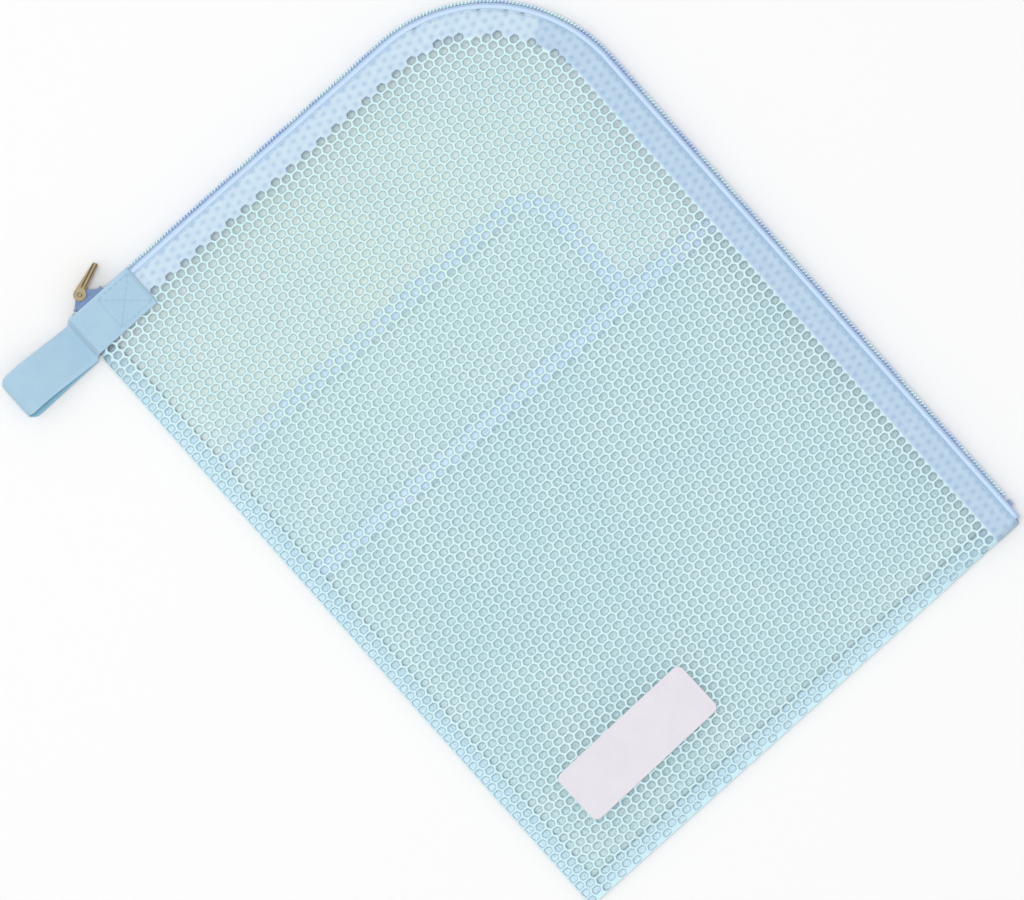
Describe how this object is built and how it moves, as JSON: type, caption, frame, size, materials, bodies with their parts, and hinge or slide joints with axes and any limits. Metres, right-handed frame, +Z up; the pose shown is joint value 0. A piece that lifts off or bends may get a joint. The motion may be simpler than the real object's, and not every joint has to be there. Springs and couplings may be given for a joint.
{
  "type": "document organizer bag",
  "caption": "Flat open-mesh document pouch with a zip round one short and one long side, inner pockets, a label patch and a ribbon loop.",
  "frame": {"origin": "middle of the flat back face, on the surface that the pouch lies on", "axes": "+Y along the long side towards the zipped short side, +X across towards the zipped long side, +Z up through the thickness towards the front panel"},
  "size_m": [0.2925, 0.3508, 0.0112],
  "materials": {
    "mesh": "pale blue-green honeycomb mesh, soft and slightly glossy threads",
    "lining": "smooth grey-green lining cloth",
    "facing": "plain lilac-blue facing tape",
    "pocket_sheet": "thin translucent pale blue cloth",
    "hem": "folded pale blue binding, stitched",
    "ribbon": "woven ribbon, fine cross ribs",
    "zip_tape": "woven zip tape",
    "zip_teeth": "satin",
    "zip_stop": "satin",
    "slider_paint": "semi-gloss enamel",
    "pull_gold": "polished, pale gold",
    "label": "white artificial leather, fine grain"
  },
  "bodies": {
    "bag": {"back_panel": "mesh", "back_lining": "lining", "back_facing": "facing", "left_seam_binding": "hem", "foot_seam_binding": "hem", "divider_pocket": "pocket_sheet", "divider_pocket_binding": "hem", "low_pocket": "pocket_sheet", "low_pocket_hem": "hem", "wide_pocket": "pocket_sheet", "wide_pocket_hem": "hem", "front_panel": "mesh", "front_panel_left_edge": "mesh", "front_panel_foot_edge": "mesh", "label_patch": "label", "ribbon_tail": "ribbon", "front_facing_slider_end": "facing", "front_facing_foot_end": "facing", "back_tape": "zip_tape", "front_tape_slider_end": "zip_tape", "front_tape_foot_end": "zip_tape", "front_teeth_slider_end": "zip_teeth", "back_teeth_short_run": "zip_teeth", "back_teeth_long_run": "zip_teeth", "top_stop_front": "zip_stop", "top_stop_back": "zip_stop", "bottom_stop": "zip_stop"},
    "mouth_flap": {"front_panel_flap": "mesh", "front_facing_short": "facing", "front_facing_long": "facing", "front_tape_flap": "zip_tape", "front_teeth_short_run": "zip_teeth", "front_teeth_long_run": "zip_teeth"},
    "slider": {"slider_body": "slider_paint"},
    "pull": {"pull_bar": "pull_gold", "pull_pin": "pull_gold"},
    "hang_loop": {"hang_loop": "ribbon"}
  },
  "joints": [
    {"name": "slider_travel", "type": "slide", "parent": "bag", "child": "slider", "axis": [1, 0, 0], "range_m": [0, 0.155], "deforming": ["front_teeth_slider_end", "front_teeth_short_run", "back_teeth_short_run"]},
    {"name": "pull_swing", "type": "hinge", "parent": "slider", "child": "pull", "pos_m": [-0.1147, 0.1744, 0.005], "axis": [0, 0, 1], "range_deg": [-12, 140]},
    {"name": "mouth_fold", "type": "hinge", "parent": "bag", "child": "mouth_flap", "pos_m": [0.02, 0.007, 0.01], "axis": [0.5452, -0.8383, 0], "range_deg": [0, 120]},
    {"name": "loop_swing", "type": "hinge", "parent": "bag", "child": "hang_loop", "pos_m": [-0.1279, 0.16, 0.0026], "axis": [0, 1, 0], "range_deg": [-90, 80]}
  ]
}
